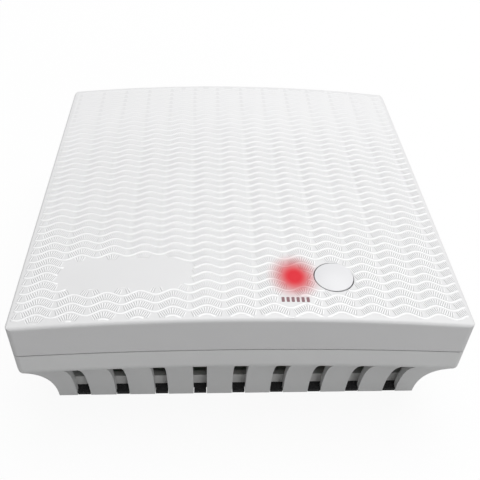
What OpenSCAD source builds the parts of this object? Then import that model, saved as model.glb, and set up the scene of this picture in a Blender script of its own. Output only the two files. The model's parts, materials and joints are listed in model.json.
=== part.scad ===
// Wall-mounted carbon dioxide sensor: a crowned square front cover with a round push button and a
// status light behind its skin, a vent housing that curves in to the wall behind it, and a wall plate.
// The part lies on its back. X runs across the unit, Y runs up the wall and Z points out of the wall.
// The origin is the centre of the back, on the wall plane. All lengths are in millimetres.

/* [Housing] */
// Width of the unit across the wall
body_w = 115; // [100:0.5:135]
// Height of the unit up the wall
body_d = 115; // [110:0.5:135]
// Distance from the wall to the middle of the face
body_h = 40.6; // [35:0.1:48]
// Rise of the crowned face from its side edges to its middle
crown_rise = 3; // [2:0.1:4]
// Wall thickness of the cover and the housing
wall = 2; // [1.6:0.1:2.4]
// Radius of the plan corners on the lower edge of the unit
near_corner_r = 2; // [1:0.1:3]
// Radius of the plan corners on the upper edge of the unit
far_corner_r = 3; // [1:0.1:4]
// Radius of the edge round the face
face_edge_r = 1; // [0.5:0.1:1.5]

/* [Lip and seam] */
// Distance from the middle of the face back to the lip
skirt_h = 17.9; // [16.8:0.1:19]
// Rise of the arched lip from the corners to the middle
lip_rise = 2; // [1:0.1:3]
// Height of the plain band from the lip to the seam
band_h = 6.9; // [6:0.1:8]
// Width of the open seam between the band and the cover
seam_gap = 0.35; // [0.2:0.05:0.5]
// How far the foot stands back from the left and right faces
foot_inset_x = 6.5; // [5:0.1:8]
// How far the foot stands back from the lower and upper faces
foot_inset_y = 7.75; // [6:0.05:9]

/* [Vents] */
// Distance between the centres of two vent slots
vent_pitch = 11; // [9:0.1:11]
// Width of a vent slot
vent_w = 3.8; // [2:0.1:4.6]
// Least stretch of inner wall between the last vent slot and the corner
vent_end = 2; // [1:0.1:8]
// Distance from the top of a vent slot to the lip
vent_top_gap = 0.6; // [0.4:0.1:1.5]

/* [Cover fixing] */
// Height of the housing's tongue inside the cover
tongue_h = 3; // [2.6:0.1:4]
// Thickness of the tongue
tongue_t = 1.1; // [0.9:0.1:1.4]
// Depth of the thick root that carries the tongue
tongue_root = 2.4; // [1.5:0.1:3]
// Clearance between the tongue and the cover
tongue_clear = 0.15; // [0.1:0.05:0.3]
// Length of a snap bead on the cover
bead_w = 9; // [6:0.5:14]
// Height of a snap bead
bead_h = 1.2; // [0.8:0.1:1.4]
// Spare room round a bead in its window
bead_clear = 0.4; // [0.2:0.1:0.6]
// Distance from the middle of the side to a bead's middle
bead_y = 26; // [14:1:34]

/* [Wall plate] */
// Thickness of the wall plate
plate_t = 2.6; // [2:0.1:3.2]
// Gap between the housing's foot and the rim of the plate
plate_gap = 1; // [0.8:0.1:1.6]
// Thickness of the plate's rim
rim_t = 1.6; // [1.2:0.1:2]
// Height of the rim above the wall
rim_z = 4.7; // [4:0.1:6]
// Width of the cable opening
cable_w = 26; // [18:1:32]
// Height of the cable opening
cable_d = 18; // [14:1:24]
// Distance between the two wall screws of a pair
screw_span = 60; // [54:1:66]
// Width of a wall screw slot
slot_w = 4.4; // [3.4:0.1:5]
// Length of a wall screw slot
slot_l = 8; // [6:0.5:10]
// Width of the raised edge round each opening in the plate
collar_w = 1.5; // [1:0.1:2]
// Height of that raised edge, and of the plate's ribs, above the plate
collar_h = 1.4; // [0.8:0.1:2]
// Thickness of a rib
plate_rib_t = 1.2; // [0.8:0.1:1.6]

/* [Plate hooks] */
// Height of the ledge on the housing that a hook holds
ledge_z = 9.1; // [8:0.1:11]
// Thickness of the ledge
ledge_t = 2; // [1.5:0.1:2.5]
// Length of the ledge
ledge_w = 12; // [8:0.5:16]
// Distance from the middle of the side to a hook's middle
hook_y = 22; // [14:1:28]
// Width of a hook
hook_w = 10; // [6:0.5:12]
// Height of the hook's nib
nib_h = 1.8; // [1.2:0.1:2.4]
// How far the nib reaches over the ledge
nib_reach = 1.3; // [0.8:0.1:1.5]
// Clearance between the hook's arm and the ledge
hook_clear = 0.3; // [0.2:0.05:0.5]

/* [Gasket] */
// Thickness of the foam gasket
gasket_t = 1; // [0.8:0.1:1.4]
// Width of the gasket ring
gasket_w = 4.5; // [3:0.1:6]
// Clearance between the gasket and the housing
gasket_clear = 0.15; // [0.1:0.05:0.3]

/* [Push button] */
// Distance of the button from the middle line
button_x = 23.6; // [22:0.1:30]
// Distance of the button from the lower edge of the unit
button_edge = 14.8; // [14:0.1:20]
// Radius of the button's cap
button_r = 5; // [4:0.1:5.5]
// Rise of the cap's domed top
button_dome = 0.7; // [0.4:0.1:1.2]
// How far the cap's rim stands above the face
button_proud = 0.15; // [0.1:0.05:0.4]
// Radius of the flange that keeps the button in
flange_r = 6.1; // [5.9:0.1:7]
// Thickness of that flange
flange_t = 1.2; // [1:0.1:1.6]
// Running clearance all round the button
button_clear = 0.3; // [0.25:0.05:0.35]
// Radius of the button's stem
stem_r = 2; // [1.5:0.1:2.5]
// Length of the guide collar under the face
guide_h = 4; // [3:0.1:5]
// Thickness of the guide collar
guide_t = 1.3; // [1:0.1:2]
// Travel of the button
button_travel = 0.4; // [0.25:0.05:0.5]

/* [Status light] */
// Distance of the light from the middle line
light_x = 13.3; // [8:0.1:13.4]
// Radius of the light guide
light_r = 2; // [1.5:0.1:2]
// Thickness of the face's skin over the light guide
light_skin = 0.7; // [0.5:0.1:1]
// Length of the socket that holds the light guide
socket_h = 6; // [4:0.5:8]
// Thickness of that socket
socket_t = 1; // [0.8:0.1:1.1]
// Clearance of the light guide in its socket
light_clear = 0.05; // [0.03:0.01:0.1]
// Radius of the lamp below the light guide
lamp_r = 1.5; // [1.2:0.1:2]
// Height of the lamp
lamp_h = 4.6; // [4:0.1:5]
// Air gap between the lamp and the light guide
lamp_gap = 0.5; // [0.3:0.1:0.8]

/* [Circuit board] */
// Distance from the middle of the face back to the back of the board
board_depth = 19.2; // [19:0.1:20.2]
// Thickness of the board
board_t = 1.6; // [1.2:0.2:2]
// Gap between the board's sides and the tongue
board_clear = 4; // [3:0.5:6]
// Distance from the unit's lower edge to the board
board_near = 9; // [7:0.5:9.5]
// Distance from the unit's upper edge to the board
board_far = 22; // [14:1:24]
// Radius of a board post
post_r = 3.2; // [2.8:0.1:3.6]
// Distance from the board's edge to a post's centre
post_edge = 6; // [5:0.5:8]
// Distance from the board's lower edge to the first posts
post_near = 12; // [10:0.5:14]
// Radius of a board screw's shank
shank_r = 1.1; // [0.9:0.05:1.3]
// Clearance of the shank in its post
shank_clear = 0.05; // [0.03:0.01:0.08]
// Clearance of the shank in the board
board_hole_clear = 0.4; // [0.2:0.05:0.6]
// Length of a board screw's shank
shank_l = 8; // [6:0.5:9]
// Radius of a screw's head
head_r = 2.4; // [2:0.1:2.8]
// Height of a screw's head
head_h = 1.7; // [1.4:0.1:2]

/* [Switch] */
// Side of the push switch
switch_w = 6; // [5.4:0.1:6.6]
// Height of the switch's body
switch_h = 3.6; // [3.2:0.1:4]
// Radius of the switch's plunger
plunger_r = 1.7; // [1.4:0.1:1.9]
// Height of the plunger above the switch
plunger_h = 1.8; // [1.4:0.1:2.4]
// Depth of the plunger inside the switch
plunger_depth = 1.2; // [0.8:0.1:1.6]

/* [Gas cell] */
// Distance of the gas cell from the middle line, to the left
cell_x = 22; // [20:0.5:24]
// Distance of the gas cell above the middle of the board
cell_y = 8; // [4:0.5:10]
// Length of the gas cell
cell_w = 28; // [26:0.5:30]
// Width of the gas cell
cell_d = 19; // [17:0.5:20]
// Height of the gas cell
cell_h = 8.4; // [8:0.1:8.8]
// Radius of the optical tunnel in the cell
tunnel_r = 3; // [2:0.1:3.2]
// How far the cell's own board stands out round the cell
cell_board_edge = 3; // [2.4:0.1:4]
// Thickness of the cell's own board
cell_board_t = 1; // [0.8:0.1:1.2]
// Height of the pins that carry the cell's board
cell_pin_h = 2; // [1.5:0.1:2.2]
// Side of a square pin
pin_w = 0.64; // [0.5:0.02:0.8]
// Distance between two pins
pin_pitch = 2.54; // [2:0.02:2.6]
// Thickness of the filter sheet over the cell
filter_t = 0.5; // [0.3:0.1:0.6]

/* [Terminals] */
// Number of wire terminals
terminal_count = 5; // [3:1:6]
// Distance between two terminals
terminal_pitch = 5.08; // [5:0.01:5.2]
// Depth of the terminal block
terminal_d = 8.4; // [7.8:0.1:9]
// Height of the terminal block
terminal_h = 10; // [9.5:0.1:11]
// Side of a wire entry
entry_w = 3.2; // [2.8:0.1:3.4]
// Wall thickness of the metal clamp in a wire entry
clamp_t = 0.4; // [0.3:0.05:0.5]
// Radius of a terminal screw
terminal_screw_r = 1.15; // [0.9:0.05:1.15]

/* [Hidden] */

$fn = 64;
// Fineness of the long, shallow arcs
arc_fn = 256;
// How far a cut runs past the surface that it cuts
overrun = 1;
// Depth of the side edge's rounding under the crown, a little less than its radius so that the two cross
edge_sink_share = 0.99;
// Angle of the swept shells, wide enough to pass both side faces
sweep = 20;

half_w = body_w / 2;
half_d = body_d / 2;
lip_z = body_h - skirt_h;
board_z = body_h - board_depth;

// Arched face: a cylinder along Y that passes the side edges and the middle of the face
crown_r = (half_w * half_w + crown_rise * crown_rise) / (2 * crown_rise);
crown_axis_z = body_h - crown_r;
function crown_z(x) = crown_axis_z + sqrt(crown_r * crown_r - x * x);

// Arched lip and seam: cylinders about one axis along Y
arch_r = (half_w * half_w + lip_rise * lip_rise) / (2 * lip_rise);
arch_axis_z = lip_z - arch_r;
seam_r = arch_r + band_h;
side_lip_z = lip_z - lip_rise;
side_seam_z = arch_axis_z + sqrt(seam_r * seam_r - half_w * half_w);

// Coves: arcs that leave the foot square to the wall and meet the skirt at the lip
cove_r_x = (side_lip_z * side_lip_z + foot_inset_x * foot_inset_x) / (2 * foot_inset_x);
cove_r_y = (lip_z * lip_z + foot_inset_y * foot_inset_y) / (2 * foot_inset_y);

// Insets of the tongue's two faces from the outside of the unit
tongue_out = wall + tongue_clear;
tongue_in = tongue_out + tongue_t;

// Half sizes of the foot and of the wall plate
foot_half_w = half_w - foot_inset_x;
foot_half_d = half_d - foot_inset_y;
plate_half_w = foot_half_w - wall - plate_gap;
plate_half_d = foot_half_d - wall - plate_gap;

// Vent slots on each side of the middle one
vent_steps = floor((foot_half_w - wall - vent_end - vent_w / 2) / vent_pitch);

// Snap bead, which rests on the lower edge of its window in the tongue
bead_z = side_seam_z + (tongue_h - bead_h - bead_clear) / 2;

// Board edges and posts
board_half_w = half_w - tongue_in - board_clear;
board_lo = -half_d + board_near;
board_hi = half_d - board_far;
board_top = board_z + board_t;
post_x = board_half_w - post_edge;
post_lo = board_lo + post_near;
post_hi = board_hi - post_edge;
post_places = [[-post_x, post_lo], [post_x, post_lo], [-post_x, post_hi], [post_x, post_hi]];

// Push button
button_y = -half_d + button_edge;
button_face_z = crown_z(button_x);
guide_r = flange_r + button_clear;
guide_out_r = guide_r + guide_t;
seat_z = crown_z(button_x + guide_r) - wall;
seat_gap = button_clear / 3;
flange_top = seat_z - seat_gap;
dome_r = (button_r * button_r + button_dome * button_dome) / (2 * button_dome);
plunger_top = board_top + switch_h + plunger_h;

// Status light
light_top = crown_z(light_x + light_r) - light_skin;
socket_r = light_r + light_clear;
lamp_top = board_top + lamp_h;

// Gas cell stack
cell_board_z = board_top + cell_pin_h;
cell_z = cell_board_z + cell_board_t;
cell_mid_z = cell_z + cell_h / 2;
cell_mid_y = (board_lo + board_hi) / 2 + cell_y;

// Terminal block
terminal_w = terminal_count * terminal_pitch;
terminal_y = cable_d / 2 + terminal_d;
terminal_z = board_z - terminal_h;
entry_z = terminal_z + terminal_h * 0.45;

// Places of the board's small parts, as shares of the half width and of the depth of the board
chip_shares = [[-0.78, 0.30], [-0.70, 0.30], [-0.62, 0.30], [-0.05, 0.16], [0.03, 0.16], [-0.05, 0.24],
  [0.03, 0.24], [0.12, 0.42], [0.12, 0.50], [0.12, 0.58], [0.12, 0.66], [0.62, 0.42], [0.62, 0.50],
  [0.62, 0.58], [0.62, 0.66], [0.30, 0.80], [0.38, 0.80], [0.46, 0.80], [-0.30, 0.12], [-0.38, 0.12]];
chip_l = 2;
chip_w = 1.25;
chip_h = 0.6;

// Body and leads of the microcontroller
mcu_x_share = 0.38;
mcu_y_share = 0.54;
mcu_w = 10;
mcu_h = 1.4;
mcu_standoff = 0.1;
mcu_leads = 11;
lead_pitch = 0.8;
lead_w = 0.35;
lead_l = 1;
lead_t = 0.2;

// Voltage regulator with its cooling tab
regulator_x_share = 0.72;
regulator_y_share = 0.24;
regulator_w = 6.6;
regulator_d = 6.1;
regulator_h = 2.3;
regulator_tab = 1.1;
regulator_tab_t = 0.5;
regulator_leg_w = 0.8;
regulator_leg_l = 2.6;

// Bridge rectifier
rectifier_x_share = 0.62;
rectifier_y_share = 0.86;
rectifier_w = 8.2;
rectifier_d = 6.2;
rectifier_h = 2.6;

// Storage capacitor, which hangs behind the board
capacitor_x_share = 0.62;
capacitor_y_share = 0.72;
capacitor_r = 4;
capacitor_h = 11.5;
capacitor_groove = 0.3;
capacitor_groove_h = 0.8;
capacitor_base = 0.8;

// Power inductor
inductor_x_share = -0.62;
inductor_y_share = 0.86;
inductor_w = 7.3;
inductor_h = 3.6;
inductor_coil_r = 3.1;
inductor_flange_t = 0.8;

// Output selector: a pin header and the jumper on two of its pins
selector_x_share = -0.24;
selector_y_share = 0.2;
selector_pin_count = 3;
selector_base_h = 2.5;
selector_pin_top = 8.5;
jumper_h = 5;
jumper_wall = 0.9;
jumper_clear = 0.1;

// Places a child by shares of the board
module on_board(x_share, y_share, z) {
  translate([x_share * board_half_w, board_lo + y_share * (board_hi - board_lo), z]) children();
}

// Extrudes an outline in X and Z along Y
module along_y(length) {
  rotate([90, 0, 0]) linear_extrude(height = length, center = true) children();
}

// Sweeps an outline in radius and Y about an axis along Y at the height given
module about_y(axis_z) {
  translate([0, 0, axis_z]) rotate([90, 0, 0]) rotate([0, 0, 90 - sweep / 2])
    rotate_extrude(angle = sweep, $fn = arc_fn) children();
}

// Solid cylinder along Y, long enough to pass the whole unit
module arch(r, axis_z) {
  translate([0, 0, axis_z]) rotate([90, 0, 0])
    cylinder(r = r, h = body_d + 2 * overrun, center = true, $fn = arc_fn);
}

// Box given by its middle in X and Y, its lower face and its sizes
module block(x, y, z, w, d, h) {
  translate([x - w / 2, y - d / 2, z]) cube([w, d, h]);
}

// Prism of the plan outline, set in from the outside by the inset
module plan_prism(inset, z, h) {
  translate([0, 0, z]) linear_extrude(height = h)
    square([body_w - 2 * inset, body_d - 2 * inset], center = true);
}

// Plan outline with its rounded corners
module plan_outline() {
  square([body_w, body_d - 2 * far_corner_r], center = true);
  translate([-half_w + near_corner_r, -half_d]) square([body_w - 2 * near_corner_r, half_d]);
  translate([-half_w + far_corner_r, 0]) square([body_w - 2 * far_corner_r, half_d]);
  translate([-half_w, -half_d + near_corner_r]) square([body_w, half_d]);
  for (side = [-1, 1]) {
    translate([side * (half_w - near_corner_r), -half_d + near_corner_r]) circle(near_corner_r);
    translate([side * (half_w - far_corner_r), half_d - far_corner_r]) circle(far_corner_r);
  }
}

// Outline in radius and Y of the crowned block, rounded on its lower and upper edges
module crown_outline() {
  translate([crown_r - body_h, -half_d]) square([body_h - face_edge_r, body_d]);
  translate([crown_r - body_h, -half_d + face_edge_r]) square([body_h, body_d - 2 * face_edge_r]);
  for (side = [-1, 1])
    translate([crown_r - face_edge_r, side * (half_d - face_edge_r)]) circle(face_edge_r);
}

// Outline in X and Z that rounds the left and right edges of the face
module side_edge_outline() {
  edge_x = half_w - face_edge_r;
  edge_z = crown_z(edge_x) - face_edge_r * edge_sink_share;
  translate([-half_w, 0]) square([body_w, edge_z]);
  translate([-edge_x, 0]) square([2 * edge_x, body_h + overrun]);
  for (side = [-1, 1]) translate([side * edge_x, edge_z]) circle(face_edge_r);
}

// Outside of the unit from the seam to the face
module cover_outside() {
  intersection() {
    about_y(crown_axis_z) crown_outline();
    along_y(body_d) side_edge_outline();
    linear_extrude(height = body_h + overrun) plan_outline();
  }
}

module cover_inside() {
  intersection() {
    arch(crown_r - wall, crown_axis_z);
    plan_prism(wall, 0, body_h);
  }
}

module front_cover() {
  color("white") difference() {
    union() {
      difference() {
        cover_outside();
        arch(seam_r, arch_axis_z);
        cover_inside();
      }
      for (place = post_places)
        translate([place.x, place.y, board_top])
          cylinder(r = post_r, h = crown_z(place.x) - wall / 2 - board_top);
      cover_ribs();
      cover_beads();
      translate([button_x, button_y, seat_z - guide_h])
        cylinder(r = guide_out_r, h = crown_z(button_x + guide_out_r) - wall / 2 - seat_z + guide_h);
      translate([light_x, button_y, light_top - socket_h])
        cylinder(r = socket_r + socket_t, h = socket_h);
    }
    for (place = post_places)
      translate([place.x, place.y, board_top - overrun])
        cylinder(r = shank_r + shank_clear, h = shank_l + overrun);
    translate([button_x, button_y, seat_z - guide_h - overrun]) {
      cylinder(r = guide_r, h = guide_h + overrun);
      cylinder(r = button_r + button_clear, h = body_h);
    }
    translate([light_x, button_y, light_top - socket_h - overrun])
      cylinder(r = socket_r, h = socket_h + overrun);
  }
}

// Shallow ribs under the face, which join the posts
module cover_ribs() {
  rib_t = wall * 0.6;
  rib_h = wall;
  intersection() {
    arch(crown_r - wall / 2, crown_axis_z);
    union() {
      for (side = [-1, 1])
        block(side * post_x, 0, crown_z(half_w) - wall - rib_h, rib_t, body_d - wall, body_h);
      for (y = [post_lo, post_hi])
        block(0, y, crown_z(half_w) - wall - rib_h, body_w - wall, rib_t, body_h);
    }
    difference() {
      arch(crown_r, crown_axis_z);
      arch(crown_r - wall - rib_h, crown_axis_z);
    }
    plan_prism(wall / 2, 0, body_h);
  }
}

// Beads on the cover's side walls, which click into windows in the tongue
module cover_beads() {
  for (side = [-1, 1], up = [-1, 1])
    block(side * (half_w - (wall / 2 + tongue_in) / 2), up * bead_y, bead_z,
      tongue_in - wall / 2, bead_w, bead_h);
}

// Outline in radius and Y of the housing, with the coves cut away
module housing_outline_y(inset) {
  difference() {
    translate([arch_r - lip_z - overrun - lip_rise, -half_d + inset])
      square([lip_z + lip_rise + overrun + band_h - seam_gap, body_d - 2 * inset]);
    for (side = [-1, 1])
      translate([arch_r - lip_z, side * (foot_half_d + cove_r_y)])
        circle(r = cove_r_y + inset, $fn = arc_fn);
  }
}

// Outline in X and Z of the housing, with the coves cut away
module housing_outline_x(inset) {
  difference() {
    translate([-half_w + inset, 0]) square([body_w - 2 * inset, body_h]);
    for (side = [-1, 1])
      translate([side * (foot_half_w + cove_r_x), 0]) circle(r = cove_r_x + inset, $fn = arc_fn);
  }
}

module housing_outside() {
  intersection() {
    intersection() {
      about_y(arch_axis_z) housing_outline_y(0);
      linear_extrude(height = body_h) plan_outline();
    }
    along_y(body_d + overrun) housing_outline_x(0);
  }
}

// Inside of the housing, open at the wall and at the top
module housing_inside() {
  intersection() {
    union() {
      about_y(arch_axis_z) housing_outline_y(wall);
      plan_prism(wall, lip_z, body_h);
    }
    union() {
      along_y(body_d) housing_outline_x(wall);
      block(0, 0, -overrun, 2 * (foot_half_w - wall), body_d, 2 * overrun);
    }
  }
}

// Ring that carries the cover, with a thick root below the seam
module tongue() {
  difference() {
    union() {
      intersection() {
        arch(seam_r + tongue_h, arch_axis_z);
        plan_prism(tongue_out, side_lip_z, body_h);
      }
      intersection() {
        arch(seam_r - seam_gap, arch_axis_z);
        plan_prism(wall / 2, side_lip_z, body_h);
      }
    }
    arch(seam_r - tongue_root, arch_axis_z);
    plan_prism(tongue_in, 0, body_h + overrun);
    for (side = [-1, 1], up = [-1, 1])
      block(side * half_w, up * bead_y, bead_z, 2 * (tongue_in + overrun), bead_w + 2 * bead_clear,
        bead_h + bead_clear);
  }
}

// Row of vent slots, open at the wall and closed just under the lip
module vents() {
  depth = foot_inset_y + wall + overrun;
  intersection() {
    arch(arch_r - vent_top_gap, arch_axis_z);
    for (k = [-vent_steps : vent_steps])
      block(k * vent_pitch, -half_d + depth / 2 - overrun / 2, -overrun,
        vent_w, depth + overrun, lip_z + overrun);
  }
}

// Ledges on the side walls that the plate's hooks hold
module housing_ledges() {
  inner = plate_half_w + hook_clear;
  intersection() {
    for (side = [-1, 1], up = [-1, 1])
      block(side * (inner + half_w) / 2, up * hook_y, ledge_z - ledge_t, half_w - inner, ledge_w, ledge_t);
    along_y(body_d) housing_outline_x(wall / 2);
  }
}

module vent_housing() {
  color([0.8, 0.8, 0.81]) difference() {
    union() {
      difference() {
        housing_outside();
        housing_inside();
      }
      tongue();
      housing_ledges();
    }
    vents();
    mirror([0, 1, 0]) vents();
  }
}

// Rectangle with its raised edge, for the cable opening
module cable_outline(grow) {
  square([cable_w + 2 * grow, cable_d + 2 * grow], center = true);
}

// Slot for a wall screw, along X
module slot_outline(grow) {
  straight = slot_l - slot_w;
  square([straight, slot_w + 2 * grow], center = true);
  for (side = [-1, 1]) translate([side * straight / 2, 0]) circle(slot_w / 2 + grow);
}

// Puts a child at the four wall screw slots, with its length along the line of its pair
module at_slots() {
  for (turn = [0, 90, 180, 270]) rotate([0, 0, turn]) translate([screw_span / 2, 0]) children();
}

module wall_plate() {
  color([0.86, 0.86, 0.85]) difference() {
    union() {
      block(0, 0, gasket_t, 2 * plate_half_w, 2 * plate_half_d, plate_t - gasket_t);
      block(0, 0, 0, 2 * (foot_half_w - wall - gasket_clear - gasket_w - gasket_clear),
        2 * (foot_half_d - wall - gasket_clear - gasket_w - gasket_clear), plate_t);
      difference() {
        block(0, 0, gasket_t, 2 * plate_half_w, 2 * plate_half_d, rim_z - gasket_t);
        block(0, 0, 0, 2 * (plate_half_w - rim_t), 2 * (plate_half_d - rim_t), rim_z + overrun);
      }
      linear_extrude(height = plate_t + collar_h) {
        cable_outline(collar_w);
        at_slots() slot_outline(collar_w);
      }
      plate_ribs();
      plate_hooks();
    }
    translate([0, 0, -overrun]) linear_extrude(height = rim_z + 2 * overrun) {
      cable_outline(0);
      at_slots() slot_outline(0);
    }
  }
}

// Ribs that run past the cable opening from rim to rim, as far out as the screw slots
module plate_ribs() {
  rib_h = plate_t / 2 + collar_h;
  for (side = [-1, 1]) {
    block(side * screw_span / 2, 0, plate_t / 2, plate_rib_t, 2 * plate_half_d - rim_t, rib_h);
    block(0, side * screw_span / 2, plate_t / 2, 2 * plate_half_w - rim_t, plate_rib_t, rib_h);
  }
}

// Hooks that stand on the rim, with a sloping nib over the housing's ledge
module plate_hooks() {
  for (side = [0, 1], up = [-1, 1])
    mirror([side, 0, 0]) translate([plate_half_w, up * hook_y, 0])
      along_y(hook_w) polygon([
        [-rim_t, gasket_t],
        [0, gasket_t],
        [0, ledge_z],
        [nib_reach, ledge_z],
        [nib_reach, ledge_z + nib_h / 3],
        [0, ledge_z + nib_h],
        [-rim_t, ledge_z + nib_h]]);
}

// Foam ring in the plate's rebate, with tabs that fill the feet of the vent slots
module wall_gasket() {
  out_w = foot_half_w - wall - gasket_clear;
  out_d = foot_half_d - wall - gasket_clear;
  tab_l = 2 * gasket_w;
  color([0.07, 0.07, 0.07]) difference() {
    union() {
      block(0, 0, 0, 2 * out_w, 2 * out_d, gasket_t);
      for (side = [-1, 1], k = [-vent_steps : vent_steps])
        block(k * vent_pitch, side * (foot_half_d - gasket_clear - tab_l / 2), 0,
          vent_w - 2 * gasket_clear, tab_l, gasket_t);
    }
    block(0, 0, -overrun, 2 * (out_w - gasket_w), 2 * (out_d - gasket_w), gasket_t + 2 * overrun);
  }
}

module push_button() {
  rim_top = button_face_z + button_proud;
  color([0.96, 0.96, 0.96]) translate([button_x, button_y, 0]) {
    intersection() {
      translate([0, 0, flange_top - flange_t / 2])
        cylinder(r = button_r, h = rim_top + button_dome - flange_top + flange_t / 2);
      translate([0, 0, rim_top + button_dome - dome_r]) sphere(r = dome_r, $fn = arc_fn);
    }
    translate([0, 0, flange_top - flange_t]) cylinder(r = flange_r, h = flange_t);
    translate([0, 0, plunger_top]) cylinder(r = stem_r, h = flange_top - flange_t / 2 - plunger_top);
  }
}

module light_guide() {
  color([0.9, 0.5, 0.5]) translate([light_x, button_y, lamp_top + lamp_gap]) {
    cylinder(r = light_r, h = light_top - lamp_top - lamp_gap);
    cylinder(r = light_r + socket_t / 2, h = light_top - socket_h - lamp_top - lamp_gap);
  }
}

module status_lamp() {
  base_h = lamp_h / 5;
  color([0.85, 0.1, 0.12]) translate([light_x, button_y, board_top]) {
    cylinder(r = lamp_r * 1.25, h = base_h);
    cylinder(r = lamp_r, h = lamp_h - lamp_r);
    translate([0, 0, lamp_h - lamp_r]) sphere(r = lamp_r);
  }
}

module switch_body() {
  leg_w = switch_w / 9;
  leg_t = switch_h / 12;
  color([0.2, 0.2, 0.21]) difference() {
    union() {
      block(button_x, button_y, board_top + leg_t, switch_w, switch_w, switch_h - leg_t);
      for (x = [-1, 1], y = [-1, 1])
        block(button_x + x * switch_w / 3, button_y + y * switch_w / 2, board_top,
          leg_w, switch_w / 2, 2 * leg_t);
    }
    translate([button_x, button_y, board_top + switch_h - plunger_depth - button_travel * 2])
      cylinder(r = plunger_r + button_clear, h = plunger_depth + button_travel * 2 + overrun);
  }
}

module switch_plunger() {
  color([0.85, 0.83, 0.78]) translate([button_x, button_y, plunger_top - plunger_h - plunger_depth])
    cylinder(r = plunger_r, h = plunger_h + plunger_depth);
}

module main_board() {
  color([0.1, 0.35, 0.2]) difference() {
    translate([-board_half_w, board_lo, board_z]) cube([2 * board_half_w, board_hi - board_lo, board_t]);
    for (place = post_places)
      translate([place.x, place.y, board_z - overrun])
        cylinder(r = shank_r + board_hole_clear, h = board_t + 2 * overrun);
  }
}

// Screws that hold the board to the cover's posts, driven from behind
module board_screws() {
  cross_w = head_r / 3;
  cross_depth = head_h * 0.6;
  tip_gap = shank_clear * 4;
  color([0.75, 0.75, 0.77]) for (place = post_places) translate([place.x, place.y, 0]) difference() {
    union() {
      translate([0, 0, board_z - head_h]) cylinder(r = head_r, h = head_h);
      translate([0, 0, board_z - head_h / 2])
        cylinder(r = shank_r, h = head_h / 2 + board_t + shank_l - tip_gap);
    }
    for (turn = [0, 90]) rotate([0, 0, turn])
      block(0, 0, board_z - head_h - overrun, head_r * 1.3, cross_w, cross_depth + overrun);
  }
}

// Moulded gas cell with an optical tunnel from the lamp to the detector
module gas_cell() {
  lamp_seat_l = cell_w / 6;
  color([0.85, 0.72, 0.35]) difference() {
    block(-cell_x, cell_mid_y, cell_z, cell_w, cell_d, cell_h);
    translate([-cell_x, cell_mid_y, cell_mid_z]) rotate([0, 90, 0]) {
      cylinder(r = tunnel_r, h = cell_w + 2 * overrun, center = true);
      for (side = [0, 1]) mirror([0, 0, side]) translate([0, 0, cell_w / 2 - lamp_seat_l])
        cylinder(r = tunnel_r + filter_t, h = lamp_seat_l + overrun);
    }
    block(-cell_x, cell_mid_y, cell_mid_z, cell_w / 2, tunnel_r, cell_h);
  }
}

module cell_board() {
  color([0.1, 0.3, 0.5])
    block(-cell_x, cell_mid_y, cell_board_z, cell_w + 2 * cell_board_edge, cell_d + 2 * cell_board_edge,
      cell_board_t);
}

// Porous sheet over the gas inlet
module gas_filter() {
  color([0.95, 0.95, 0.93])
    block(-cell_x, cell_mid_y, cell_z + cell_h, cell_w * 0.7, cell_d * 0.6, filter_t);
}

module infrared_lamp() {
  seat_l = cell_w / 6;
  color([0.7, 0.7, 0.72]) translate([-cell_x - cell_w / 2, cell_mid_y, cell_mid_z]) rotate([0, 90, 0]) {
    cylinder(r = tunnel_r + filter_t - light_clear, h = seat_l);
    translate([0, 0, -filter_t]) cylinder(r = tunnel_r + 2 * filter_t, h = filter_t);
  }
}

module infrared_detector() {
  seat_l = cell_w / 6;
  color([0.7, 0.7, 0.72]) translate([-cell_x + cell_w / 2, cell_mid_y, cell_mid_z]) rotate([0, -90, 0]) {
    cylinder(r = tunnel_r + filter_t - light_clear, h = seat_l);
    translate([0, 0, -filter_t]) cylinder(r = tunnel_r + 2 * filter_t, h = filter_t);
  }
}

// Pins that carry the gas cell's board above the main board
module cell_pins() {
  per_row = 5;
  row_y = cell_d / 2 + cell_board_edge / 2;
  color([0.85, 0.7, 0.3]) for (side = [-1, 1], k = [0 : per_row - 1])
    block(-cell_x + (k - (per_row - 1) / 2) * pin_pitch, cell_mid_y + side * row_y, board_top,
      pin_w, pin_w, cell_pin_h);
}

// Puts a child at the middle of each wire terminal
module at_terminals() {
  for (k = [0 : terminal_count - 1])
    translate([(k - (terminal_count - 1) / 2) * terminal_pitch, terminal_y, 0]) children();
}

module terminal_block() {
  color([0.15, 0.45, 0.25]) difference() {
    block(0, terminal_y, terminal_z, terminal_w, terminal_d, terminal_h);
    at_terminals() {
      block(0, -terminal_d * 0.1 - overrun, entry_z, entry_w, terminal_d * 0.8 + 2 * overrun, entry_w);
      translate([0, 0, terminal_z - overrun])
        cylinder(r = terminal_screw_r + clamp_t, h = entry_z - terminal_z + 2 * overrun);
    }
  }
}

// Metal clamps that line the wire entries
module terminal_clamps() {
  clamp_l = terminal_d * 0.5;
  color([0.8, 0.78, 0.7]) at_terminals() difference() {
    block(0, 0, entry_z, entry_w, clamp_l, entry_w);
    block(0, 0, entry_z + clamp_t, entry_w - 2 * clamp_t, clamp_l + 2 * overrun, entry_w - 2 * clamp_t);
    translate([0, 0, entry_z - overrun]) cylinder(r = terminal_screw_r + light_clear, h = 2 * overrun);
  }
}

module terminal_screws() {
  recess = terminal_h * 0.05;
  slit_w = terminal_screw_r / 3;
  color([0.75, 0.75, 0.77]) at_terminals() difference() {
    translate([0, 0, terminal_z + recess])
      cylinder(r = terminal_screw_r, h = entry_z - terminal_z - recess + entry_w / 2);
    block(0, 0, terminal_z, 2 * terminal_screw_r + overrun, slit_w, recess + slit_w);
  }
}

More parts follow.
